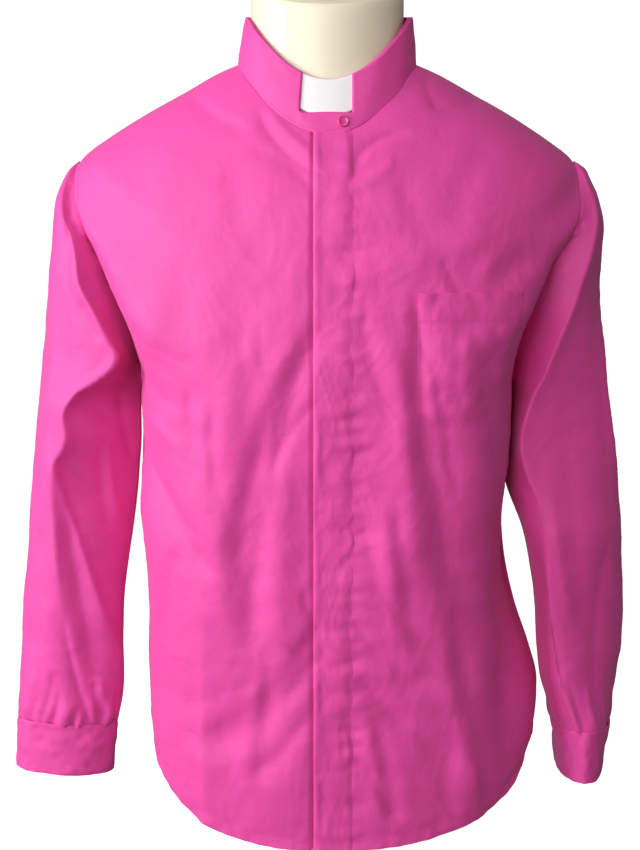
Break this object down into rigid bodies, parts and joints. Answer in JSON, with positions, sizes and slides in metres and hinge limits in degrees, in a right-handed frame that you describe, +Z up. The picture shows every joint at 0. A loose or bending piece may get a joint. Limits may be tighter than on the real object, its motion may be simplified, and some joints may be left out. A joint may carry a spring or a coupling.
{
  "type": "clergy shirt on a limbless dress form",
  "caption": "Long-sleeved clergy shirt with a tab collar, fly front and breast pocket, shown on a limbless tabletop dress form.",
  "frame": {"origin": "centre of the stand base's underside, which rests on a table", "axes": "+Z up, the shirt's front faces -Y, and +X is towards the wearer's left"},
  "size_m": [0.6271, 0.3, 0.962],
  "materials": {
    "poplin": "plain woven poplin, fuchsia",
    "white_tab": "smooth, white",
    "button": "polished, dyed to match the cloth",
    "form": "smooth, cream",
    "steel": "satin"
  },
  "bodies": {
    "root": {"dress_form": "form", "stand_pole": "steel", "stand_base": "steel", "front_right": "poplin", "front_left": "poplin", "placket": "poplin", "pocket": "poplin", "back": "poplin", "yoke": "poplin", "sleeve_right": "poplin", "sleeve_left": "poplin", "cuff_right": "poplin", "cuff_left": "poplin", "collar_outer": "poplin", "collar_inner": "poplin", "collar_tab": "white_tab", "collar_button": "button"}
  },
  "joints": []
}
